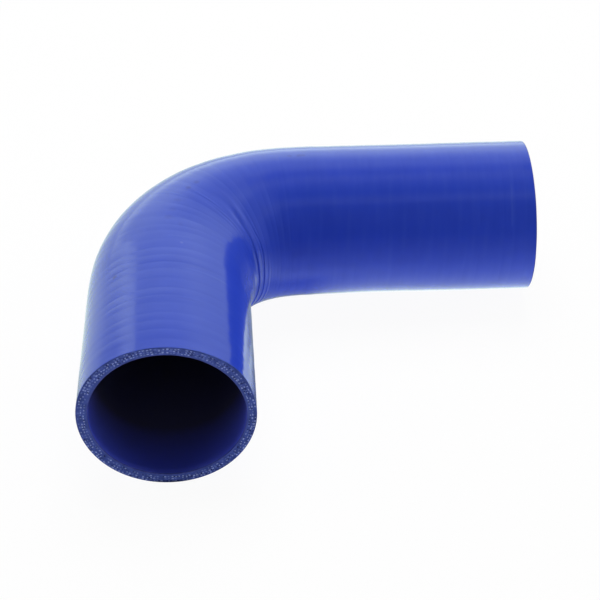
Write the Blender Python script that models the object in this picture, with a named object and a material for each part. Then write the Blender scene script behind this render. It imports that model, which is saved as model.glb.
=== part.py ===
"""Silicone elbow coolant hose: one moulded tube with two straight legs of unequal length and a bend between them.

Metres, +Z up. The hose lies on its side as it would come to rest on a bench. The near leg's cut end
faces -Y, the side leg's cut end faces +X, and the origin is under the middle of the hose's box.
"""

import math

import bmesh
import bpy
from mathutils import Matrix, Vector

# Driving dimensions
BORE = 0.060  # inside diameter, the pipe stub that the hose pushes onto
WALL = 0.005  # liner, fabric plies and cover together
BEND_RADIUS = 0.056  # of the centreline
BEND_ANGLE = math.radians(90.0)
NEAR_LEG = 0.135  # from the cut end to the corner where the two centrelines cross
SIDE_LEG = 0.165

# Folds pressed into the cover on the inside of the bend
FOLD_ANGLES = (math.radians(35.0), math.radians(45.5))  # round the bend, from the near leg
FOLD_DEPTH = 0.0008
FOLD_WIDTH = 0.0011
FOLD_LEAN = math.radians(12.0)  # how far a fold drifts towards the near leg as it climbs the sides
FOLD_REACH = math.radians(85.0)  # round the section, either way from the innermost line

# Facets
SIDES = 64  # round the section
FINE_STEP = math.radians(1.5)  # between rings where the folds run
COARSE_STEP = math.radians(5.0)  # between rings in the rest of the bend and in the bore
FOLD_MARGIN = math.radians(12.0)  # of fine rings before the first fold and past the last
SMOOTH_LIMIT = math.radians(50.0)  # sharper edges, those of the cut ends, stay crisp

BLUE_SILICONE = (0.036, 0.066, 0.46, 1.0)
CUT_PLIES = (0.05, 0.07, 0.22, 1.0)

OBJECT_NAME = "elbow_hose"
COLLECTION_NAME = "elbow_coolant_hose"

OUTER_RADIUS = BORE / 2 + WALL
CORNER_SETBACK = BEND_RADIUS * math.tan(BEND_ANGLE / 2)  # from the corner to where the bend starts
NEAR_STRAIGHT = NEAR_LEG - CORNER_SETBACK
SIDE_STRAIGHT = SIDE_LEG - CORNER_SETBACK
BEND_CENTRE = Vector((BEND_RADIUS, 0.0, 0.0))
SIDE_DIRECTION = Vector((math.sin(BEND_ANGLE), math.cos(BEND_ANGLE), 0.0))


def clear_scene():
    for obj in list(bpy.data.objects):
        bpy.data.objects.remove(obj, do_unlink=True)


def material(name, colour, roughness):
    made = bpy.data.materials.new(name)
    made.use_nodes = True
    shader = made.node_tree.nodes["Principled BSDF"]
    shader.inputs["Base Color"].default_value = colour
    shader.inputs["Roughness"].default_value = roughness
    shader.inputs["Metallic"].default_value = 0.0
    return made


def near_ring(bm, radius):
    """The section's circle at the near cut end, square to +Y, as a list of edges."""
    place = Matrix.Translation((0.0, -NEAR_STRAIGHT, 0.0)) @ Matrix.Rotation(math.pi / 2, 4, "X")
    points = bmesh.ops.create_circle(bm, segments=SIDES, radius=radius, matrix=place)["verts"]
    return list({edge for point in points for edge in point.link_edges})


def push(bm, rim, travel):
    """Extrudes a rim straight along travel and returns the new rim."""
    made = bmesh.ops.extrude_edge_only(bm, edges=rim)["geom"]
    points = [item for item in made if isinstance(item, bmesh.types.BMVert)]
    bmesh.ops.translate(bm, verts=points, vec=travel)
    return [item for item in made if isinstance(item, bmesh.types.BMEdge)]


def turn(bm, rim, angle, step):
    """Spins a rim round the bend's centre by angle, in rings about step apart, and returns the new rim."""
    points = {point for edge in rim for point in edge.verts}
    made = bmesh.ops.spin(
        bm,
        geom=list(points) + rim,
        cent=BEND_CENTRE,
        axis=(0.0, 0.0, -1.0),
        angle=angle,
        steps=max(1, round(angle / step)),
    )["geom_last"]
    return [item for item in made if isinstance(item, bmesh.types.BMEdge)]


def skin(bm, radius, stretches):
    """Sweeps one open skin from the near end to the side end and returns its two rims.

    stretches holds the end angle and the ring spacing of each stretch of the bend, in order.
    """
    near_rim = near_ring(bm, radius)
    rim = push(bm, near_rim, Vector((0.0, NEAR_STRAIGHT, 0.0)))
    start = 0.0
    for end, step in stretches:
        rim = turn(bm, rim, end - start, step)
        start = end
    return near_rim, push(bm, rim, SIDE_DIRECTION * SIDE_STRAIGHT)


def fold_profile(offset):
    """Height over a fold's cross-section: a groove with a low lip on either side."""
    ratio = (offset / FOLD_WIDTH) ** 2
    return -FOLD_DEPTH * (1.0 - 2.0 * ratio) * math.exp(-ratio)


def press_folds(points):
    """Moves the outer skin's points along the section's radius, where a fold runs past them."""
    for point in points:
        arm = point.co - BEND_CENTRE
        around = math.atan2(arm.y, -arm.x)
        if not 0.0 < around < BEND_ANGLE:
            continue
        inward = Vector((math.cos(around), -math.sin(around), 0.0))
        section_centre = BEND_CENTRE - inward * BEND_RADIUS
        outward = (point.co - section_centre).normalized()
        from_inside = outward.angle(inward)
        if from_inside >= FOLD_REACH:
            continue
        fade = math.cos(from_inside / FOLD_REACH * math.pi / 2) ** 2
        drift = FOLD_LEAN * (1.0 - math.cos(from_inside))
        reach = arm.xy.length
        heights = (fold_profile((around - fold + drift) * reach) for fold in FOLD_ANGLES)
        point.co += outward * fade * sum(heights)


def hose_mesh():
    """The closed tube: folded outer skin, smooth bore, and a flat ring at each cut end."""
    bm = bmesh.new()
    before_folds = FOLD_ANGLES[0] - FOLD_MARGIN
    past_folds = FOLD_ANGLES[-1] + FOLD_MARGIN
    stretches = ((before_folds, COARSE_STEP), (past_folds, FINE_STEP), (BEND_ANGLE, COARSE_STEP))
    outer_near, outer_side = skin(bm, OUTER_RADIUS, stretches)
    press_folds(list(bm.verts))
    bore_near, bore_side = skin(bm, BORE / 2, ((BEND_ANGLE, COARSE_STEP),))
    for rims in (outer_near + bore_near, outer_side + bore_side):
        filled = bmesh.ops.triangle_fill(bm, use_beauty=True, edges=rims)["geom"]
        for face in (item for item in filled if isinstance(item, bmesh.types.BMFace)):
            face.material_index = 1
    bmesh.ops.recalc_face_normals(bm, faces=bm.faces)
    mesh = bpy.data.meshes.new(OBJECT_NAME)
    bm.to_mesh(mesh)
    bm.free()
    mesh.shade_smooth()
    mesh.set_sharp_from_angle(angle=SMOOTH_LIMIT)
    return mesh


def centre_on_floor(mesh):
    """Moves the mesh so that the middle of its box stands over the origin, with its lowest point at zero."""
    low = Vector(min(point.co[axis] for point in mesh.vertices) for axis in range(3))
    high = Vector(max(point.co[axis] for point in mesh.vertices) for axis in range(3))
    mesh.transform(Matrix.Translation((-(low.x + high.x) / 2, -(low.y + high.y) / 2, -low.z)))


def main():
    clear_scene()
    collection = bpy.data.collections.new(COLLECTION_NAME)
    bpy.context.scene.collection.children.link(collection)
    mesh = hose_mesh()
    centre_on_floor(mesh)
    mesh.materials.append(material("blue_silicone", BLUE_SILICONE, 0.3))
    mesh.materials.append(material("cut_plies", CUT_PLIES, 0.7))
    hose = bpy.data.objects.new(OBJECT_NAME, mesh)
    collection.objects.link(hose)


main()
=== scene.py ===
import math

import bmesh
import bpy
import numpy as np
from mathutils import Matrix, Vector


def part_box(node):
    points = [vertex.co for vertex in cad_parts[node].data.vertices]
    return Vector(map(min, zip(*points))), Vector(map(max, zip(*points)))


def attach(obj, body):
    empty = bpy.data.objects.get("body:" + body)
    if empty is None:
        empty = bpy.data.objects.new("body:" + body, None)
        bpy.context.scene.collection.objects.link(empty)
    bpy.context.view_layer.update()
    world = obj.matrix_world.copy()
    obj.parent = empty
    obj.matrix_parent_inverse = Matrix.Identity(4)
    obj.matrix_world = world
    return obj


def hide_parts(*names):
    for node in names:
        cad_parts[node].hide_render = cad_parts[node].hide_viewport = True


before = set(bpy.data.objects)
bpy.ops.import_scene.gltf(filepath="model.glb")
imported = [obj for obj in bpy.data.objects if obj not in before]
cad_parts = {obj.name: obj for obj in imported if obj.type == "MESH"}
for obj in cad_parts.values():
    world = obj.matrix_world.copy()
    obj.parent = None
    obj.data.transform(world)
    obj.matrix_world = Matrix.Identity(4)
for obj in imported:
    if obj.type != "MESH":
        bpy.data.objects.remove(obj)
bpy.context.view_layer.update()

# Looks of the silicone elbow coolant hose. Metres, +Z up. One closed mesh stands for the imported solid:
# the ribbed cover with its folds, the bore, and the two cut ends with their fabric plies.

# Sizes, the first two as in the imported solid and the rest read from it
WALL = 0.005
BEND_RADIUS = 0.056  # of the centreline
low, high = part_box("elbow_hose")
OUTER_RADIUS = (high.z - low.z) / 2
BORE_RADIUS = OUTER_RADIUS - WALL
BEND_CENTRE_X = low.x + OUTER_RADIUS + BEND_RADIUS
BEND_CENTRE_Y = high.y - OUTER_RADIUS - BEND_RADIUS
AXIS_HEIGHT = low.z + OUTER_RADIUS
NEAR_STRAIGHT = BEND_CENTRE_Y - low.y
SIDE_STRAIGHT = high.x - BEND_CENTRE_X
BEND_LENGTH = BEND_RADIUS * math.pi / 2

# Places on the hose are metres along the centreline, from the start of the bend, and degrees round the
# section, where 0 is the outside of the bend, 90 its top and 180 its inside
NEAR_END = -NEAR_STRAIGHT
SIDE_END = BEND_LENGTH + SIDE_STRAIGHT

# The curve sets in and dies away over this length to either side of where the bend starts and ends
BEND_EASE = 0.013
CENTRELINE_STEPS = 12000
CENTRELINE_MARGIN = 0.01  # past both ends

# Mesh
SIDES = 96  # round the section of the cover and the bore
RIM_SIDES = 288  # round a cut end, a whole multiple of SIDES
COVER_STEP = 0.00038  # between the cover's rings
BORE_STEP = 0.003
EDGE_RADIUS = 0.00032  # of the cut edges
EDGE_STEPS = 3
SMOOTH_LIMIT = math.radians(60)
COVER_DEPTH = 0.002  # points within this of the outer radius belong to the cover

# Noise: wavelengths and seed. Banded noise changes mostly along the hose.
SINES = 4  # for each wavelength
BANDED = (1.0, 0.25, 0.25)
VARIATION_NOISE = ((0.03, 0.011), 3)
WAVE_NOISE = ((0.0125, 0.0098), 21)
SHADE_NOISE = ((0.0060, 0.0031), 41)
COVER_NOISE = ((0.07, 0.032), 5)
BORE_NOISE = ((0.05, 0.024), 11)

# Marks of the tape that the hose was cured in
TAPE_PITCH = 0.0056
TAPE_JITTER = 0.27  # of the pitch
TAPE_CROWN = (0.000024, 0.000044)  # least and most rise of the cover between two tape edges
TAPE_GROOVE = (0.000001, 0.000016)  # least and most depth at a tape edge
TAPE_GROOVE_WIDTH = 0.00045
TURNS_BEFORE = 2  # turns of the tape before the near end
SPARE_TURNS = 6  # so that the tape reaches past both ends
WEAVE_PITCH = 0.00152  # of the finer ribs between the tape edges
WEAVE_STARTS = 3  # of those ribs, which wind round the hose side by side
WEAVE_HEIGHT = 0.0000014
MARKS_MEAN = 0.9  # strength of the tape's marks and how far it varies
MARKS_VARIATION = 0.6
WAVE_HEIGHT = 0.00008  # of waves that run across about two turns of the tape
SAG = 0.00005  # slow unevenness of the cover

# Single ridges across the cover: degrees round the section, millimetres along the centreline, microns high
# Their heights also set the cover's painted highlight on them, and painted shade where they are negative
RIDGES = (
    ((58, 66, 84, 97), (28.2, 27.4, 27.2, 26.0), 19),
    ((42, 60, 84), (23.8, 20.6, 19.8), 18),
    ((92, 104, 116), (9.9, 8.2, 7.8), 13),
    ((88, 100, 112), (-5.2, -5.6, -5.6), 12),
    ((100, 112, 138), (-28.3, -28.4, -28.6), 14),
    ((100, 112, 130), (-25.9, -25.6, -25.0), -16),
    ((96, 114), (-48.8, -49.2), -20),
    ((122, 134, 158), (186.0, 185.6, 185.2), 14),
)
RIDGE_WIDTH = 0.00048
RIDGE_FADE = 5.0  # degrees at either end
FULL_RIDGE = 0.00003  # height at which the painted highlight on a ridge, and the painted shade in a negative one, are strongest

# Swell of the near leg's inner shoulder: height, middle and spread in degrees, and where and over what
# length it dies away in the bend
SWELL = 0.0007
SWELL_MIDDLE = 142.0
SWELL_WIDTH = 16.0
SWELL_GONE = 0.044
SWELL_FADE = 0.03

# Unevenness of the wall: metres along the centreline, degrees round the section (None for all the way
# round), how far out the cover and the bore lie there, and how far that reaches in metres and degrees
UNEVENNESS = (
    (0.045, 0.0, 0.0006, 0.0006, 0.022, 60.0),
    (0.125, None, -0.0002, -0.0002, 0.034, 0.0),
    (0.125, 235.0, -0.0003, -0.0003, 0.034, 60.0),
    (-0.045, 0.0, -0.0004, -0.0002, 0.035, 60.0),
    (-0.079, -12.0, -0.0005, -0.0002, 0.018, 50.0),
    (-0.079, 92.0, -0.0003, -0.0001, 0.009, 48.0),
    (-0.079, 180.0, 0.0, 0.0010, 0.030, 60.0),
)

# The side leg's cut is out of square: how much longer the leg is on average, then how much further it
# reaches at a place in degrees round the section, with as much less on the opposite side
SIDE_TRIM = (0.0014, (-0.0020, 145.0), (0.0006, 235.0))
SIDE_TRIM_REACH = 0.035
# On the near leg the cover reaches past the liner: how far, and its middle and spread in degrees
NEAR_TRIM = (0.0012, 92.0, 48.0)
NEAR_TRIM_REACH = 0.012

# Creases: centre as degrees round the section and degrees round the bend, with the depth and width at
# each of those places
CREASES = (
    {
        "around": (104, 112, 120, 130, 140, 150, 160, 170, 180, 195, 215, 250),
        "bend": (38.0, 38.7, 38.7, 37.4, 36.0, 37.4, 36.2, 35.4, 35.4, 36.4, 36.0, 30.0),
        "depth_mm": (0.0, 0.05, 0.08, 0.11, 0.15, 0.25, 0.40, 0.55, 0.68, 0.78, 0.75, 0.0),
        "width_mm": (1.8, 1.8, 1.8, 1.6, 1.3, 1.0, 0.8, 0.68, 0.66, 0.70, 0.8, 1.0),
    },
    {
        "around": (106, 114, 122, 132, 142, 152),
        "bend": (43.6, 43.4, 42.7, 41.3, 41.0, 41.4),
        "depth_mm": (0.0, -0.08, -0.15, -0.15, -0.08, 0.0),
        "width_mm": (2.1, 2.1, 2.1, 2.0, 1.8, 1.8),
    },
    {
        "around": (132, 140, 147, 153, 158, 164, 171, 180, 190, 200, 215, 250),
        "bend": (45.4, 45.2, 45.0, 46.5, 47.6, 47.0, 46.0, 45.4, 46.0, 47.0, 47.0, 40.0),
        "depth_mm": (0.0, 0.06, 0.11, 0.16, 0.20, 0.26, 0.34, 0.44, 0.55, 0.62, 0.6, 0.0),
        "width_mm": (0.8, 0.7, 0.62, 0.60, 0.58, 0.56, 0.55, 0.55, 0.55, 0.55, 0.6, 0.9),
    },
    {
        "around": (84, 90, 96, 104, 114, 120),
        "bend": (35.6, 34.6, 33.2, 32.5, 32.5, 32.0),
        "depth_mm": (0.0, -0.05, -0.07, -0.07, -0.05, 0.0),
        "width_mm": (0.8, 0.8, 0.8, 0.8, 0.8, 0.8),
    },
    {
        "around": (104, 112, 122, 130, 138, 144, 150),
        "bend": (30.6, 30.0, 28.6, 29.0, 28.6, 26.5, 24.5),
        "depth_mm": (0.0, 0.03, 0.05, 0.07, 0.06, 0.03, 0.0),
        "width_mm": (0.8, 0.8, 0.8, 0.8, 0.8, 0.8, 0.8),
    },
    {
        "around": (165, 175, 187, 200, 213, 230),
        "bend": (54.0, 53.8, 53.8, 54.4, 54.6, 54.0),
        "depth_mm": (0.0, -0.08, -0.18, -0.22, -0.22, 0.0),
        "width_mm": (0.9, 0.9, 0.9, 0.9, 0.9, 0.9),
    },
)
CREASE_BLUR = (-4.0, -2.0, 0.0, 2.0, 4.0)  # degrees to either side over which it is evened out
CREASE_WIDTH = 0.85  # of the groove, as a share of the stated width
CREASE_LIP = 1.25  # how much of a lip stands beside the groove

# Dirt on the cover: metres along the centreline, degrees round the section, radius, strength, whether pale
SPECKS = (
    (-0.0252, 54.6, 0.0014, 1.0, False),
    (-0.0102, 101.5, 0.0009, 0.16, True),
    (0.0334, 89.0, 0.0016, 0.56, False),
    (0.0390, 89.0, 0.0018, 0.42, False),
    (0.0226, 89.5, 0.0020, 0.26, False),
    (0.0146, 90.5, 0.0022, 0.18, False),
    (0.0086, 90.0, 0.0024, 0.26, False),
    (0.0042, 99.5, 0.0018, 0.14, False),
    (0.0870, 88.0, 0.0016, 0.42, False),
    (0.0912, 88.0, 0.0019, 0.46, False),
    (0.0932, 88.0, 0.0015, 0.40, False),
)
SPECK_CORE = 0.3  # of its radius, within which a speck is at full strength

# Colours
COVER_BLUE = (0.023, 0.056, 0.50)
# The liner is paler than the cover as painted light at its mouths, and turns to the next colour as painted
# shade deeper in the bore
LINER_LIT_BLUE = (0.064, 0.096, 0.66)
LINER_PAINTED_SHADE = (0.050, 0.050, 0.100)
CUT_BLUE = (0.026, 0.050, 0.25)
# Painted shade of the torn-open pits, which the mesh doesn't dent
PIT_SHADE_BLUE = (0.010, 0.020, 0.12)
LINER_EDGE_BLUE = (0.038, 0.056, 0.28)
DIM_THREAD_BLUE = (0.078, 0.118, 0.36)
THREAD_BLUE = (0.175, 0.23, 0.50)
# Painted highlight on the ridges, and painted shade in the grooves and between the tape's turns
RIDGE_HIGHLIGHT_BLUE = (0.10, 0.17, 0.62)
GROOVE_SHADE_BLUE = (0.010, 0.025, 0.32)
PALE_SPECK = (0.30, 0.34, 0.62)
DARK_SPECK = (0.008, 0.014, 0.27)

# Silicone
SILICONE_IOR = 1.41
LINER_SHADE_FADE = 0.027  # over which painted shade darkens the liner from its mouths inwards
LIGHT_AND_SHADE_STRENGTH = 0.30  # how far a full painted highlight reaches towards its pale colour, and a full painted shade towards its dark one
TURN_PAINTED_SHADE = 0.24  # of the full strength, by which painted light and shade make the turns of the tape differ, as the shading of their ribs
MOTTLE_SCALE = 55.0
MOTTLE_SPAN = (0.35, 0.65)  # of the noise, from deep to pale
MOTTLE_DEEP = 0.98  # of the colour
MOTTLE_PALE = 1.02
MOTTLE_LIFT = 0.001
GLOSS_SCALE = 120.0
GLOSS_SPAN = (0.3, 0.7)
GLOSS_VARIATION = (-0.015, 0.02)  # of the roughness
RIB_SCALE = 900.0
RIB_STRETCH = (1.0, 0.05, 0.05)
RIB_STRENGTH = 0.07
GRAIN_SCALE = 700.0
GRAIN_STRENGTH = 0.06
BUMP_DEPTH = 0.00002

# Sawn rubber and thread ends
BLOTCH_SCALE = 420.0
BLOTCH_SPAN = (0.38, 0.62)
BLOTCH_LIFT = 0.01
CUT_SPECULAR = 0.25

# Camera
CAMERA_PLACE = (-0.04036, -0.45198, 0.35784)
CAMERA_YAW = math.radians(4.07)
CAMERA_PITCH = math.radians(36.23)  # below the horizon
CAMERA_ROLL = math.radians(0.5)
CAMERA_LENS = 75.92  # mm, on a sensor this many mm wide
CAMERA_SENSOR = 36.0
CAMERA_CLIP = (0.01, 100.0)

random = np.random.default_rng(7)


def centreline():
    """The centreline as rows of metres along it, turn, x and y, with the curve set in gradually."""
    start = NEAR_END - CENTRELINE_MARGIN
    along = np.linspace(start, SIDE_END + CENTRELINE_MARGIN, CENTRELINE_STEPS + 1)
    step = along[1] - along[0]
    setting_in = np.clip((along + BEND_EASE) / (2 * BEND_EASE), 0.0, 1.0)
    dying_away = np.clip((BEND_LENGTH + BEND_EASE - along) / (2 * BEND_EASE), 0.0, 1.0)
    curve = setting_in * dying_away / BEND_RADIUS
    turn = np.concatenate(((0.0,), np.cumsum((curve[1:] + curve[:-1]) / 2) * step))
    turn *= math.pi / 2 / turn[-1]
    middle = (turn[1:] + turn[:-1]) / 2
    x = np.concatenate(((0.0,), np.cumsum(np.sin(middle)) * step))
    y = np.concatenate(((0.0,), np.cumsum(np.cos(middle)) * step))
    half = np.searchsorted(along, BEND_LENGTH / 2)
    # The easing's shift is shared out: half of it moves the bend's middle in, the rest moves the legs out
    ease = BEND_EASE ** 2 / (12 * BEND_RADIUS) / math.sqrt(2)
    reach = BEND_RADIUS / math.sqrt(2) - ease
    x += BEND_CENTRE_X - reach - x[half]
    y += BEND_CENTRE_Y + reach - y[half]
    return along, turn, x, y


CENTRELINE = centreline()


def section_angles(count):
    """Radians round the section, evenly spaced."""
    return np.arange(count) * (2 * math.pi / count)


def as_if_straight(along, around, radius):
    """Where points would lie if the hose were straight: along it, towards 0 degrees and up."""
    rows = np.broadcast_arrays(along, radius * np.cos(around), radius * np.sin(around))
    return np.stack(rows, axis=-1)


def bell(around, middle, spread):
    """A smooth hump round the section, 1 at its middle. around is in radians, the others in degrees."""
    turned = (np.degrees(around) - middle + 180) % 360 - 180
    return np.exp(-((turned / spread) ** 2))


def trimmed(along, around, outward):
    """How much further along a point lies because the cuts aren't quite square.

    outward is 0 at the bore and 1 at the cover.
    """
    mean, *leans = SIDE_TRIM
    lean = mean + sum(height * np.cos(around - math.radians(middle)) for height, middle in leans)
    side = np.clip(1 - (SIDE_END - along) / SIDE_TRIM_REACH, 0.0, 1.0)
    height, middle, spread = NEAR_TRIM
    near = np.clip(1 - (along - NEAR_END) / NEAR_TRIM_REACH, 0.0, 1.0)
    return lean * side ** 2 - height * outward * bell(around, middle, spread) * near ** 2


def unevenness(along, around, outward):
    """How much further out a point of the wall lies than in an even hose."""
    total = np.zeros(np.broadcast(along, around, outward).shape)
    for middle, angle, cover, bore, reach, spread in UNEVENNESS:
        share = np.exp(-(((along - middle) / reach) ** 2))
        if angle is not None:
            share = share * bell(around, angle, spread)
        total += share * (bore + (cover - bore) * outward)
    return total


def place(along, around, radius):
    """World points of the hose from metres along the centreline, radians round the section, and radius."""
    outward = np.clip((radius - BORE_RADIUS) / WALL, 0.0, 1.0)
    radius = radius + unevenness(along, around, outward)
    along = along + trimmed(along, around, outward)
    turn, x, y = (np.interp(along, CENTRELINE[0], row) for row in CENTRELINE[1:])
    away = radius * np.cos(around)
    z = AXIS_HEIGHT + radius * np.sin(around)
    return np.stack(np.broadcast_arrays(x - np.cos(turn) * away, y + np.sin(turn) * away, z), axis=-1)


def smooth_noise(points, waves, seed):
    """Slow noise from -1 to 1 over rows of coordinates, as a sum of sines with the given wavelengths."""
    own = np.random.default_rng(seed)
    total = np.zeros(points.shape[:-1])
    for wave in waves:
        for _ in range(SINES):
            direction = own.normal(size=points.shape[-1])
            direction /= np.linalg.norm(direction)
            total += np.sin(points @ direction * (2 * math.pi / wave) + own.uniform(0, 2 * math.pi))
    return total / (SINES * len(waves))


def tape_marks(along, around, straight):
    """Height of the ribs that the curing tape left, wound round the hose as a slow helix."""
    turns = int((SIDE_END - NEAR_END) / TAPE_PITCH) + SPARE_TURNS
    jitter = random.uniform(-TAPE_JITTER, TAPE_JITTER, turns)
    edges = TAPE_PITCH * (np.arange(turns) + jitter) - TURNS_BEFORE * TAPE_PITCH
    wound = np.interp(along - NEAR_END, edges, np.arange(turns)) + around / (2 * math.pi)
    part = wound - np.floor(wound)
    nearest = np.clip(np.round(wound).astype(int), 0, turns)
    depths = random.uniform(*TAPE_GROOVE, turns + 1)
    to_edge = (wound - np.round(wound)) * TAPE_PITCH
    crowns = random.uniform(*TAPE_CROWN, turns + 1)
    crown = crowns[np.clip(np.floor(wound).astype(int), 0, turns)] * (1 - (2 * part - 1) ** 2)
    groove = depths[nearest] * np.exp(-((to_edge / TAPE_GROOVE_WIDTH) ** 2))
    weave = WEAVE_HEIGHT * np.sin(2 * math.pi * along / WEAVE_PITCH + WEAVE_STARTS * around)
    strength = MARKS_MEAN + MARKS_VARIATION * smooth_noise(straight, *VARIATION_NOISE)
    waves = WAVE_HEIGHT * smooth_noise(straight * BANDED, *WAVE_NOISE)
    return (crown - groove + weave) * strength + waves


def ridge_heights(along, around):
    """Height of the single ridges in metres, each fading out at its two ends."""
    total = np.zeros(np.broadcast(along, around).shape)
    degrees = np.degrees(around)
    for places, middles, height in RIDGES:
        offset = along - np.interp(degrees, places, middles) / 1000
        to_end = np.minimum(degrees - places[0], places[-1] - degrees)
        fade = np.clip(to_end / RIDGE_FADE, 0.0, 1.0)
        total += height / 1e6 * fade * np.exp(-((offset / RIDGE_WIDTH) ** 2))
    return total


def crease_heights(along, around):
    """Height of the creases on the inside of the bend, each a groove with a low lip on either side."""
    total = np.zeros(np.broadcast(along, around).shape)
    bend = np.degrees(along / BEND_RADIUS)
    degrees = np.degrees(around)
    arm = BEND_RADIUS + OUTER_RADIUS * np.cos(around)
    for crease in CREASES:
        traced = []
        for key in ("bend", "depth_mm", "width_mm"):
            nearby = (np.interp(degrees + off, crease["around"], crease[key]) for off in CREASE_BLUR)
            traced.append(sum(nearby) / len(CREASE_BLUR))
        centre, depth, width = traced
        offset = np.radians(bend - centre) * arm
        ratio = (offset / (CREASE_WIDTH * width / 1000)) ** 2
        total -= depth / 1000 * (1 - CREASE_LIP * ratio) * np.exp(-ratio)
    return total


def swell_heights(along, around):
    """Height of the swell on the near leg's inner shoulder."""
    to_middle = (np.degrees(around) - SWELL_MIDDLE) / SWELL_WIDTH
    return SWELL * np.exp(-(to_middle ** 2)) * np.clip((SWELL_GONE - along) / SWELL_FADE, 0.0, 1.0)


def cover_rings():
    """Rings of the cover from the near end to the side end, with both edges rounded."""
    count = round((SIDE_END - NEAR_END) / COVER_STEP)
    steps = np.linspace(NEAR_END + EDGE_RADIUS, SIDE_END - EDGE_RADIUS, count)
    along, around = np.meshgrid(steps, section_angles(SIDES), indexing="ij")
    straight = as_if_straight(along, around, OUTER_RADIUS)
    height = tape_marks(along, around, straight)
    height += ridge_heights(along, around)
    height += crease_heights(along, around)
    height += SAG * smooth_noise(straight, *COVER_NOISE)
    height += swell_heights(along, around)
    radius = OUTER_RADIUS - SAG + height
    rings = [(along[i], around[i], radius[i]) for i in range(count)]
    near, side = [], []
    for step in range(1, EDGE_STEPS):
        angle = math.pi / 2 * step / EDGE_STEPS
        inset = EDGE_RADIUS * (1 - math.cos(angle))
        travel = EDGE_RADIUS * math.sin(angle)
        near.insert(0, (along[0] - travel, around[0], radius[0] - inset))
        side.append((along[-1] + travel, around[-1], radius[-1] - inset))
    return near + rings + side


def bore_rings():
    """Rings of the bore from the side end to the near end."""
    count = round((SIDE_END - NEAR_END) / BORE_STEP)
    around = section_angles(SIDES)
    rings = []
    for step in np.linspace(SIDE_END - EDGE_RADIUS, NEAR_END + EDGE_RADIUS, count):
        straight = as_if_straight(step, around, BORE_RADIUS)
        radius = BORE_RADIUS + SAG * smooth_noise(straight, *BORE_NOISE)
        rings.append((np.full(SIDES, step), around, radius))
    return rings


# A cut end: each ply's row of thread ends, as shares of the way from the liner to the cover
PLY_ROWS = (0.85, 0.56, 0.27)
PLY_THICKNESS = 0.14  # as a share of the same way
PLY_THICKNESS_SPREAD = (0.75, 1.35)  # least and most, as a share of that
PLY_JITTER = 0.055
PLY_WANDER = ((0.02, 3), (0.018, 11))  # as a share of the same way, and how often round the section
WANDER_START = 6  # radians, the most by which such a wave starts later
LINER_EDGE = 0.00055  # of the plain rubber inside the plies
THREADS = RIM_SIDES // 2
THREAD_WIDTH = (0.34, 0.66)  # least and most, as a share of the room that a thread has
THREAD_JITTER = 0.17  # of the same room
MISSING_THREADS = 0.16  # share of them that the saw smeared over
DIM_THREADS = 0.40
OPEN_PITS = 0.30  # share of the gaps between them that are torn open, painted dark as the shade in those pits
COVER_EDGE = 0.00002  # from the rounded edge to the first ring
PLY_SUNK = 0.00003  # how deep the cut lies at the plies, at the liner's edge and at the bore
LINER_SUNK = 0.00004
BORE_SUNK = 0.00002
SAW_WAVE = 0.00004  # height of the saw's waves, how many go round, and how they turn across the wall
SAW_WAVES = 7
SAW_TURN = 40
THREAD_DOME = ((0.00006, 0.00005), (0.00010, 0.00003))  # inset and rise of each step of a thread end


def cut_end_rings(along, outward):
    """Rings of a cut end from the cover to the bore, and which strips between them hold thread ends.

    outward is 1 where the end faces on along the centreline and -1 where it faces back.
    """
    around = section_angles(RIM_SIDES)
    room = 2 * math.pi / THREADS
    inner = BORE_RADIUS + LINER_EDGE
    outer = OUTER_RADIUS - SAG - EDGE_RADIUS
    way = outer - inner
    rings = [(around, outer - COVER_EDGE, 0.0)]
    threads = []
    for row in PLY_ROWS:
        width = random.uniform(*THREAD_WIDTH, THREADS) * room
        middle = (np.arange(THREADS) + 0.5 + random.uniform(-THREAD_JITTER, THREAD_JITTER, THREADS)) * room
        both = np.empty(RIM_SIDES)
        both[0::2] = middle - width / 2
        both[1::2] = middle + width / 2
        wander = 0.0
        for size, waves in PLY_WANDER:
            wander = wander + size * np.sin(waves * both + random.uniform(0, WANDER_START))
        centre = row + wander + np.repeat(random.uniform(-PLY_JITTER, PLY_JITTER, THREADS), 2)
        half = PLY_THICKNESS / 2 * np.repeat(random.uniform(*PLY_THICKNESS_SPREAD, THREADS), 2)
        threads.append(len(rings))
        rings.append((both, inner + way * (centre + half), PLY_SUNK))
        rings.append((both, inner + way * (centre - half), PLY_SUNK))
    rings.append((around, inner, LINER_SUNK))
    rings.append((around, BORE_RADIUS + EDGE_RADIUS, BORE_SUNK))
    made = []
    for angles, radius, sunk in rings:
        rough = SAW_WAVE * np.sin(SAW_WAVES * angles + SAW_TURN * np.mean(radius) / WALL)
        depth = np.full(RIM_SIDES, along) - outward * (sunk + rough)
        made.append((depth, angles, radius + np.zeros(RIM_SIDES)))
    return made, threads


def strip(first, first_count, second, second_count):
    """Faces between two rings of points, given where each starts.

    Where the counts differ, the coarser ring's points fan out to the finer one's.
    """
    faces = []
    if first_count == second_count:
        for i in range(first_count):
            j = (i + 1) % first_count
            faces.append((first + i, first + j, second + j, second + i))
        return faces
    flip = first_count > second_count
    coarse, fine = (second, first) if flip else (first, second)
    coarse_count, fine_count = sorted((first_count, second_count))
    share = fine_count // coarse_count
    for i in range(coarse_count):
        a, b = coarse + i, coarse + (i + 1) % coarse_count
        points = [fine + (share * i + k) % fine_count for k in range(share + 1)]
        half = share // 2
        fan = [(a, points[k + 1], points[k]) for k in range(half)]
        fan.append((a, b, points[half]))
        fan += [(b, points[k + 1], points[k]) for k in range(half, share)]
        faces += [face[::-1] for face in fan] if flip else fan
    return faces


# Material slots, in the order in which build_hose fills them
COVER, LINER, CUT, THREAD, LINER_CUT, DIM_THREAD, PIT = range(7)


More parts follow.
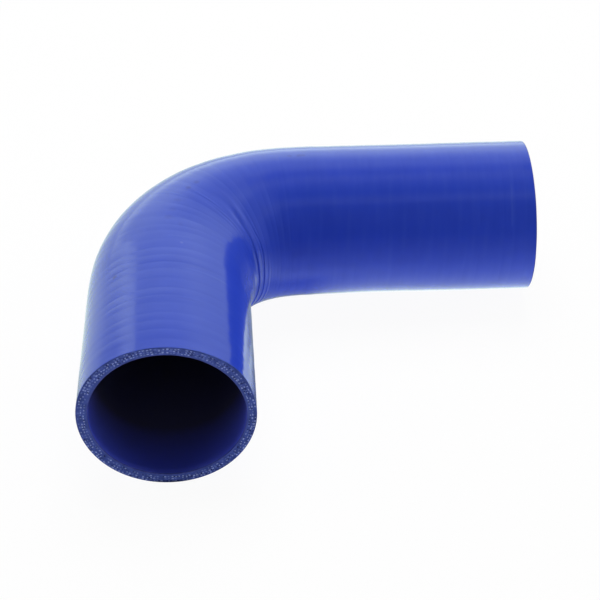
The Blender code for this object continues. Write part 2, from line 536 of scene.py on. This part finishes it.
def thread_slots(count):
    """Material slots of a strip of thread ends and the gaps between them."""
    luck = random.uniform(size=count)
    threads = np.where(luck < MISSING_THREADS + DIM_THREADS, DIM_THREAD, THREAD)
    ends = np.where(luck < MISSING_THREADS, CUT, threads)
    gaps = np.where(luck < OPEN_PITS, PIT, CUT)
    return np.where(np.arange(count) % 2 == 0, ends, gaps).tolist()


def keep_places(mesh, straight):
    """Stores where each point lies on the hose, and its painted highlight and shade, for the materials."""
    attribute = mesh.attributes.new("straight", "FLOAT_VECTOR", "POINT")
    attribute.data.foreach_set("vector", straight.astype(np.float32).ravel())
    around = np.arctan2(straight[:, 2], straight[:, 1])
    around = np.where(around < 0, around + 2 * math.pi, around)
    on_cover = np.hypot(straight[:, 1], straight[:, 2]) > OUTER_RADIUS - COVER_DEPTH
    # Painted light and shade: lighter on ridges, darker in grooves, and lighter and darker turn by turn of
    # the tape
    turn_shades = TURN_PAINTED_SHADE * smooth_noise(straight * BANDED, *SHADE_NOISE)
    lights_and_shades = np.where(on_cover, ridge_heights(straight[:, 0], around) / FULL_RIDGE + turn_shades, 0.0)
    attribute = mesh.attributes.new("light_and_shade", "FLOAT", "POINT")
    attribute.data.foreach_set("value", lights_and_shades.astype(np.float32))


def hose_mesh():
    """The closed mesh: cover, side cut end, bore and near cut end, one ring after the other."""
    side_end, side_threads = cut_end_rings(SIDE_END, 1.0)
    near_end, near_threads = cut_end_rings(NEAR_END, -1.0)
    near_end.reverse()
    cover = cover_rings()
    bore = bore_rings()
    loops = cover + side_end + bore + near_end
    first_side, first_bore = len(cover), len(cover) + len(side_end)
    first_near = first_bore + len(bore)
    thread_strips = {first_side + i for i in side_threads}
    thread_strips |= {first_near + len(near_end) - 2 - i for i in near_threads}
    # The plain rubber inside the plies, and the rounded edges of the bore
    liner_strips = {first_bore - 2, first_bore - 1, first_near - 1, first_near}
    points, straight, starts, counts = [], [], [], []
    total = 0
    for along, around, radius in loops:
        points.append(place(along, around, radius))
        straight.append(as_if_straight(along, around, radius))
        starts.append(total)
        counts.append(len(around))
        total += len(around)
    faces, slots = [], []
    for i in range(len(loops)):
        j = (i + 1) % len(loops)
        made = strip(starts[i], counts[i], starts[j], counts[j])
        if i in thread_strips:
            own = thread_slots(len(made))
        elif i in liner_strips:
            own = [LINER_CUT] * len(made)
        elif EDGE_STEPS - 2 < i < first_side - EDGE_STEPS:  # the cover's rounded edges count as cut
            own = [COVER] * len(made)
        elif first_bore <= i < first_near - 1:
            own = [LINER] * len(made)
        else:
            own = [CUT] * len(made)
        faces += made
        slots += own
    mesh = bpy.data.meshes.new("elbow_hose_silicone")
    mesh.from_pydata(np.concatenate(points).tolist(), [], faces)
    mesh.polygons.foreach_set("material_index", slots)
    keep_places(mesh, np.concatenate(straight))
    return mesh


def raise_threads(mesh):
    """Rounds each thread end into a low dome that stands a little proud of the cut rubber."""
    bm = bmesh.new()
    bm.from_mesh(mesh)
    bmesh.ops.recalc_face_normals(bm, faces=bm.faces)
    ends = [face for face in bm.faces if face.material_index in (THREAD, DIM_THREAD)]
    for inset, rise in THREAD_DOME:
        bmesh.ops.inset_individual(bm, faces=ends, thickness=inset, depth=rise, use_even_offset=True)
    bm.to_mesh(mesh)
    bm.free()
    mesh.shade_smooth()
    mesh.set_sharp_from_angle(angle=SMOOTH_LIMIT)


def put(name, data):
    """A new object in the scene."""
    made = bpy.data.objects.new(name, data)
    bpy.context.scene.collection.objects.link(made)
    return made


def nodes_of(name):
    """A new material with its node tree and its Principled BSDF."""
    material = bpy.data.materials.new(name)
    material.use_nodes = True
    tree = material.node_tree
    return material, tree, tree.nodes["Principled BSDF"]


def add(tree, kind, **settings):
    node = tree.nodes.new(kind)
    for key, value in settings.items():
        setattr(node, key, value)
    return node


def stored(tree, name, output):
    """What the mesh stores under a name."""
    return add(tree, "ShaderNodeAttribute", attribute_name=name).outputs[output]


def noise(tree, vector, scale, detail=2.0, stretch=(1.0, 1.0, 1.0)):
    mapping = add(tree, "ShaderNodeMapping")
    mapping.inputs["Scale"].default_value = stretch
    tree.links.new(vector, mapping.inputs["Vector"])
    made = add(tree, "ShaderNodeTexNoise")
    made.inputs["Scale"].default_value = scale
    made.inputs["Detail"].default_value = detail
    tree.links.new(mapping.outputs["Vector"], made.inputs["Vector"])
    return made.outputs["Fac"]


def map_range(tree, value, from_low, from_high, to_low, to_high):
    made = add(tree, "ShaderNodeMapRange", clamp=True)
    keys = ("From Min", "From Max", "To Min", "To Max")
    for key, number in zip(keys, (from_low, from_high, to_low, to_high)):
        made.inputs[key].default_value = number
    tree.links.new(value, made.inputs["Value"])
    return made.outputs["Result"]


def mix_colour(tree, factor, first, second):
    made = add(tree, "ShaderNodeMix", data_type="RGBA")
    tree.links.new(factor, made.inputs["Factor"])
    for name, colour in (("A", first), ("B", second)):
        socket = [s for s in made.inputs if s.name == name and s.type == "RGBA"][0]
        if isinstance(colour, tuple):
            socket.default_value = (*colour, 1.0)
        else:
            tree.links.new(colour, socket)
    return [s for s in made.outputs if s.type == "RGBA"][0]


def mix_shader(tree, factor, first, second):
    made = add(tree, "ShaderNodeMixShader")
    if isinstance(factor, float):
        made.inputs["Fac"].default_value = factor
    else:
        tree.links.new(factor, made.inputs["Fac"])
    tree.links.new(first, made.inputs[1])
    tree.links.new(second, made.inputs[2])
    return made.outputs["Shader"]


def mottled(tree, at, scale, span, deep, pale):
    """Soft blotches of two colours. span is the part of the noise that leads from deep to pale."""
    factor = map_range(tree, noise(tree, at, scale, detail=3.0), *span, 0.0, 1.0)
    return mix_colour(tree, factor, deep, pale)


def bumped(tree, height, strength, under=None):
    """A surface pressed by height, on top of another such surface where one is given."""
    made = add(tree, "ShaderNodeBump")
    made.inputs["Strength"].default_value = strength
    made.inputs["Distance"].default_value = BUMP_DEPTH
    tree.links.new(height, made.inputs["Height"])
    if under is not None:
        tree.links.new(under, made.inputs["Normal"])
    return made.outputs["Normal"]


def painted_shade_inwards(tree, at, shade, fade):
    """A colour that turns to the liner's painted shade over the length fade from each mouth, as shade
    deeper in the bore.
    """
    parts = add(tree, "ShaderNodeSeparateXYZ")
    tree.links.new(at, parts.inputs["Vector"])
    near = map_range(tree, parts.outputs["X"], NEAR_END, NEAR_END + fade, 1.0, 0.0)
    side = map_range(tree, parts.outputs["X"], SIDE_END - fade, SIDE_END, 0.0, 1.0)
    mouths = add(tree, "ShaderNodeMath", operation="ADD")
    tree.links.new(near, mouths.inputs[0])
    tree.links.new(side, mouths.inputs[1])
    return mix_colour(tree, mouths.outputs["Value"], LINER_PAINTED_SHADE, shade)


def painted_light_and_shade(tree, shade):
    """A colour with painted highlight where the value is above zero and painted shade where it is below.
    """
    light_and_shade = stored(tree, "light_and_shade", "Fac")
    shade = mix_colour(tree, map_range(tree, light_and_shade, 0.0, 1.0, 0.0, LIGHT_AND_SHADE_STRENGTH), shade, RIDGE_HIGHLIGHT_BLUE)
    return mix_colour(tree, map_range(tree, light_and_shade, -1.0, 0.0, LIGHT_AND_SHADE_STRENGTH, 0.0), shade, GROOVE_SHADE_BLUE)


def specked(tree, at, shade, specks):
    """A colour with specks of dirt on it."""
    for along, around, radius, strength, is_pale in specks:
        away = add(tree, "ShaderNodeVectorMath", operation="DISTANCE")
        tree.links.new(at, away.inputs[0])
        away.inputs[1].default_value = as_if_straight(along, math.radians(around), OUTER_RADIUS)
        factor = map_range(tree, away.outputs["Value"], radius * SPECK_CORE, radius, strength, 0.0)
        shade = mix_colour(tree, factor, shade, PALE_SPECK if is_pale else DARK_SPECK)
    return shade


def silicone(name, colour, roughness, specks=(), fade=0.0):
    """Glossy moulded silicone: faint mottling, faint ribs finer than the mesh, and fine grain.

    With specks it is the cover, with dirt and with painted highlight and shade on its ridges and turns.
    With fade it is the liner, with painted shade that darkens it inwards from its mouths.
    """
    material, tree, shader = nodes_of(name)
    at = stored(tree, "straight", "Vector")
    pale = tuple(c * MOTTLE_PALE + MOTTLE_LIFT for c in colour)
    deep = tuple(c * MOTTLE_DEEP for c in colour)
    shade = mottled(tree, at, MOTTLE_SCALE, MOTTLE_SPAN, deep, pale)
    if fade:
        shade = painted_shade_inwards(tree, at, shade, fade)
    if specks:
        shade = specked(tree, at, painted_light_and_shade(tree, shade), specks)
    tree.links.new(shade, shader.inputs["Base Color"])
    least, most = (roughness + change for change in GLOSS_VARIATION)
    uneven = noise(tree, at, GLOSS_SCALE, detail=3.0, stretch=BANDED)
    rough = map_range(tree, uneven, *GLOSS_SPAN, least, most)
    tree.links.new(rough, shader.inputs["Roughness"])
    ribs = bumped(tree, noise(tree, at, RIB_SCALE, stretch=RIB_STRETCH), RIB_STRENGTH)
    grained = bumped(tree, noise(tree, at, GRAIN_SCALE), GRAIN_STRENGTH, ribs)
    tree.links.new(grained, shader.inputs["Normal"])
    shader.inputs["IOR"].default_value = SILICONE_IOR
    return material


def cut_rubber(name, colour, roughness, lift):
    """Sawn silicone or thread ends: matt, with blotches the size of a thread."""
    material, tree, shader = nodes_of(name)
    at = stored(tree, "straight", "Vector")
    pale = tuple(c * lift + BLOTCH_LIFT for c in colour)
    shade = mottled(tree, at, BLOTCH_SCALE, BLOTCH_SPAN, colour, pale)
    tree.links.new(shade, shader.inputs["Base Color"])
    shader.inputs["Roughness"].default_value = roughness
    shader.inputs["Specular IOR Level"].default_value = CUT_SPECULAR
    shader.inputs["IOR"].default_value = SILICONE_IOR
    return material


def build_hose():
    mesh = hose_mesh()
    raise_threads(mesh)
    for material in (
        silicone("blue_silicone_cover", COVER_BLUE, roughness=0.10, specks=SPECKS),
        silicone("blue_silicone_liner", LINER_LIT_BLUE, roughness=0.45, fade=LINER_SHADE_FADE),
        cut_rubber("sawn_silicone", CUT_BLUE, roughness=0.6, lift=1.35),
        cut_rubber("cut_threads", THREAD_BLUE, roughness=0.8, lift=1.3),
        cut_rubber("sawn_liner", LINER_EDGE_BLUE, roughness=0.5, lift=1.15),
        cut_rubber("smeared_threads", DIM_THREAD_BLUE, roughness=0.7, lift=1.3),
        cut_rubber("torn_rubber_pit_shade", PIT_SHADE_BLUE, roughness=0.7, lift=1.3),
    ):
        mesh.materials.append(material)
    hose = put("elbow_hose_silicone", mesh)
    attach(hose, "root")
    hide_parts("elbow_hose")


def background_factor(tree):
    """1 for rays that show the background as it looks, whether straight, mirrored or through glass."""
    light_path = add(tree, "ShaderNodeLightPath")
    total = light_path.outputs["Is Camera Ray"]
    for output in ("Is Glossy Ray", "Is Transmission Ray"):
        either = add(tree, "ShaderNodeMath", operation="MAXIMUM")
        tree.links.new(total, either.inputs[0])
        tree.links.new(light_path.outputs[output], either.inputs[1])
        total = either.outputs["Value"]
    return total


FLOOR_SIZE = 30.0
FLOOR_COLOUR = (0.90, 0.90, 0.90)
FLOOR_OWN_SHARE = 0.95  # of its look that doesn't depend on the light, so that the shadow stays faint
WORLD_LIGHT = 0.06


def build_floor():
    mesh = bpy.data.meshes.new("studio_floor")
    half = FLOOR_SIZE / 2
    corners = [(-half, -half, 0), (half, -half, 0), (half, half, 0), (-half, half, 0)]
    mesh.from_pydata(corners, [], [(0, 1, 2, 3)])
    floor = put("studio_floor", mesh)
    material, tree, shader = nodes_of("white_floor")
    shader.inputs["Base Color"].default_value = (*FLOOR_COLOUR, 1.0)
    shader.inputs["Roughness"].default_value = 1.0
    shader.inputs["Specular IOR Level"].default_value = 0.0
    white = add(tree, "ShaderNodeEmission")
    seen = mix_shader(tree, FLOOR_OWN_SHARE, shader.outputs["BSDF"], white.outputs["Emission"])
    chosen = mix_shader(tree, background_factor(tree), shader.outputs["BSDF"], seen)
    tree.links.new(chosen, tree.nodes["Material Output"].inputs["Surface"])
    mesh.materials.append(material)


def build_world():
    world = bpy.data.worlds.new("studio")
    bpy.context.scene.world = world
    world.use_nodes = True
    tree = world.node_tree
    soft = tree.nodes["Background"]
    white = add(tree, "ShaderNodeBackground")
    for background, strength in ((soft, WORLD_LIGHT), (white, 1.0)):
        background.inputs["Color"].default_value = (1.0, 1.0, 1.0, 1.0)
        background.inputs["Strength"].default_value = strength
    chosen = mix_shader(
        tree, background_factor(tree), soft.outputs["Background"], white.outputs["Background"]
    )
    tree.links.new(chosen, tree.nodes["World Output"].inputs["Surface"])


# Soft lamps that face the hose: azimuth, elevation, distance, width, height and the light that each gives
# a white surface that faces it
SOFTBOXES = {
    "key_light": (0, 69, 1.3, 0.9, 0.9, 0.86),
    "left_light": (-80, 25, 1.3, 0.9, 0.7, 0.25),
    "right_light": (80, 25, 1.3, 0.9, 0.7, 0.29),
    "front_light": (180, 45, 1.3, 0.7, 0.7, 0.06),
}
# An upward soft lamp just over the floor, as from a light table
TABLE_SIZE = 0.8
TABLE_BRIGHTNESS = 0.70
TABLE_HEIGHT = 0.0005


def polar(azimuth, elevation, distance):
    """A point round the origin. Azimuth 0 is straight behind the hose, and grows to the right."""
    a, e = math.radians(azimuth), math.radians(elevation)
    return Vector((math.sin(a) * math.cos(e), math.cos(a) * math.cos(e), math.sin(e))) * distance


def soft_lamp(name, width, height, power):
    """A rectangular lamp that neither the camera nor reflections see."""
    data = bpy.data.lights.new(name, "AREA")
    data.shape = "RECTANGLE"
    data.size = width
    data.size_y = height
    data.energy = power
    lamp = put(name, data)
    lamp.visible_camera = False
    lamp.visible_glossy = False
    return lamp


def softbox(name, azimuth, elevation, distance, width, height, strength):
    lamp = soft_lamp(name, width, height, strength * math.pi ** 2 * distance ** 2)
    spot = polar(azimuth, elevation, distance)
    lamp.location = spot
    lamp.rotation_mode = "QUATERNION"
    lamp.rotation_quaternion = (-spot).to_track_quat("-Z", "Y")


def build_table_light():
    power = TABLE_BRIGHTNESS * math.pi * TABLE_SIZE * TABLE_SIZE
    lamp = soft_lamp("table_light", TABLE_SIZE, TABLE_SIZE, power)
    lamp.location = (0.0, 0.0, TABLE_HEIGHT)
    lamp.rotation_euler = (math.pi, 0.0, 0.0)


# Brightness of the studio in reflections, by degrees over the top: 0 is straight back, 90 overhead and 180
# the camera's side
LEFT_WINDOW = ((0, 45, 60, 80, 180), (1.0, 1.0, 0.6, 0.3, 0.1))
BACK_WALL = (
    (0, 9, 13, 21, 25, 31, 37, 48, 57, 64, 70, 78, 82, 88, 96, 104, 110, 114, 121, 124, 132, 180),
    (1.95, 1.72, 1.48, 1.52, 1.62, 1.46, 1.28, 0.98, 0.84, 0.40, 0.16, 0.40, 0.42, 0.28, 0.22, 0.07, 0.17,
     0.32, 0.34, 0.04, 0.0, 0.0),
)
RIGHT_WALL = (
    (0, 8, 18, 30, 42, 56, 66, 76, 85, 100, 118, 126, 140, 180),
    (0.6, 0.82, 1.0, 1.3, 1.42, 1.05, 1.3, 1.2, 0.62, 0.55, 0.6, 0.3, 0.15, 0.08),
)
FAR_RIGHT = ((0, 20, 60, 120, 180), (0.25, 0.6, 0.7, 0.6, 0.3))
# The window is brighter towards its edge, by degrees to the side
WINDOW_SHARE = (
    (-90, -50, -39, -37.5, -36, -33.5, -30.5, -25),
    (0.3, 0.6, 0.88, 0.92, 1.14, 1.50, 1.78, 1.82),
)
# The window's edge leans, by degrees over the top, and is soft for this many degrees to either side
WINDOW_EDGE = (
    (0, 15, 17, 19, 22, 24, 25.5, 29, 40),
    (-36.0, -31.0, -29.6, -28.8, -27.9, -27.0, -25.8, -24.9, -24.6),
)
WINDOW_SOFTNESS = 0.6
# The back wall is a little dimmer to the left, by degrees to the side, up to these degrees over the top
WALL_SHARE = ((-30, -24, -16, -6, 3, 11), (0.70, 0.78, 0.86, 0.99, 1.0, 1.0))
WALL_SHARE_END = (40, 50)
# Degrees to the side between which the back wall turns into the right one, and that into the far right
BACK_TO_RIGHT = (12, 27)
RIGHT_TO_FAR = (47, 66)
STUDIO_TINT = (0.97, 1.15, 1.0)
DOME_DISTANCE = 4.0
DOME_LIFT = 0.01
DOME_COLUMNS = 360
DOME_ROWS = 91


def glow_card(name, points, faces, brightness):
    """A card that only reflections see, as beside a product, with its own brightness at each point."""
    mesh = bpy.data.meshes.new(name)
    mesh.from_pydata(points, [], faces)
    values = mesh.attributes.new("brightness", "FLOAT_COLOR", "POINT")
    values.data.foreach_set("color", [c * level for level in brightness for c in (*STUDIO_TINT, 1.0)])
    card = put(name, mesh)
    material, tree, shader = nodes_of(name)
    tree.nodes.remove(shader)
    glow = add(tree, "ShaderNodeEmission")
    tree.links.new(stored(tree, "brightness", "Color"), glow.inputs["Color"])
    tree.links.new(glow.outputs["Emission"], tree.nodes["Material Output"].inputs["Surface"])
    mesh.materials.append(material)
    for kind in ("camera", "diffuse", "shadow", "volume_scatter"):
        setattr(card, "visible_" + kind, False)


def studio_brightness(over, side):
    """Brightness of the studio towards a direction, from degrees over the top and degrees to the side."""
    left = np.interp(over, *LEFT_WINDOW) * np.interp(side, *WINDOW_SHARE)
    share = np.interp(side, *WALL_SHARE)
    back = np.interp(over, *BACK_WALL) * np.interp(over, WALL_SHARE_END, (share, 1.0))
    right = np.interp(over, *RIGHT_WALL)
    far = np.interp(over, *FAR_RIGHT)
    edge = np.interp(over, *WINDOW_EDGE)
    places = (-90, edge - WINDOW_SOFTNESS, edge + WINDOW_SOFTNESS, *BACK_TO_RIGHT, *RIGHT_TO_FAR, 90)
    levels = (left, left, back, back, right, right, far, far)
    return float(np.interp(side, places, levels))


def build_dome():
    """The studio above the floor as reflections see it."""
    points, brightness, faces = [], [], []
    for row in range(DOME_ROWS):
        for column in range(DOME_COLUMNS):
            x, y, z = polar(column * 360 / DOME_COLUMNS, row * 90 / (DOME_ROWS - 1), 1.0)
            points.append((x * DOME_DISTANCE, y * DOME_DISTANCE, z * DOME_DISTANCE + DOME_LIFT))
            over = math.degrees(math.atan2(z, y))
            side = math.degrees(math.asin(max(-1.0, min(1.0, x))))
            brightness.append(studio_brightness(over, side))
    for row in range(DOME_ROWS - 1):
        for column in range(DOME_COLUMNS):
            a = row * DOME_COLUMNS + column
            b = row * DOME_COLUMNS + (column + 1) % DOME_COLUMNS
            faces.append((a, b, b + DOME_COLUMNS, a + DOME_COLUMNS))
    glow_card("studio_dome", points, faces, brightness)


# Brightness of the floor in reflections, by metres from the back to the front
FLOOR_LEVELS = (
    (3.0, 0.10, 0.045, 0.030, 0.024, 0.012, 0.0, -0.027, -0.092, -0.3, -0.6, -2.5),
    (1.0, 1.1, 1.3, 1.35, 1.20, 1.12, 0.90, 0.48, 0.19, 0.075, 0.03, 0.01),
)
FLOOR_COLUMNS = (-3.0, -0.07, -0.045, -0.015, -0.003, 0.012, 0.03, 0.05, 3.0)
FLOOR_LIFT = 0.0003
# The floor is dimmer in the near leg's shade and brighter in the crook, by metres to the side. Under the
# side leg, between these metres from front to back, the shade is wider than in front of it.
FLOOR_SHADE = ((-0.05, -0.046, -0.015, -0.003, 0.03, 0.05), (1.0, 0.35, 0.35, 1.1, 1.1, 1.0))
FLOOR_SHADE_UNDER = ((-0.05, -0.046, -0.003, 0.012, 0.03), (1.0, 0.3, 0.3, 0.8, 1.0))
UNDER_FROM = 0.01
UNDER_TO = 0.07
# To the left of this and from the middle to the back, the floor is evenly bright
LEFT_FLOOR_EDGE = -0.05
LEFT_FLOOR = 0.92


def floor_brightness(x, y, level):
    """Brightness of the floor at a point, from the level of its row."""
    if x <= LEFT_FLOOR_EDGE and y >= 0.0:
        return LEFT_FLOOR
    if y > UNDER_TO:
        return level
    return level * float(np.interp(x, *(FLOOR_SHADE_UNDER if y > UNDER_FROM else FLOOR_SHADE)))


def build_floor_card():
    """The floor as reflections see it."""
    points, brightness, faces = [], [], []
    for y, level in zip(*FLOOR_LEVELS):
        for x in FLOOR_COLUMNS:
            points.append((x, y, FLOOR_LIFT))
            brightness.append(floor_brightness(x, y, level))
    columns = len(FLOOR_COLUMNS)
    for i in range(len(FLOOR_LEVELS[0]) - 1):
        for j in range(columns - 1):
            a = i * columns + j
            faces.append((a, a + 1, a + 1 + columns, a + columns))
    glow_card("front_floor", points, faces, brightness)


def build_lights():
    for name, settings in SOFTBOXES.items():
        softbox(name, *settings)
    build_table_light()
    build_dome()
    build_floor_card()


def build_camera():
    data = bpy.data.cameras.new("photo_camera")
    data.sensor_width = CAMERA_SENSOR
    data.lens = CAMERA_LENS
    data.clip_start, data.clip_end = CAMERA_CLIP
    camera = put("photo_camera", data)
    facing = Matrix.Rotation(-CAMERA_YAW, 4, "Z") @ Matrix.Rotation(math.pi / 2 - CAMERA_PITCH, 4, "X")
    camera.matrix_world = Matrix.Translation(CAMERA_PLACE) @ facing @ Matrix.Rotation(CAMERA_ROLL, 4, "Z")
    bpy.context.scene.camera = camera


build_camera()
build_hose()
build_floor()
build_world()
build_lights()
bpy.context.scene.view_settings.view_transform = "Standard"
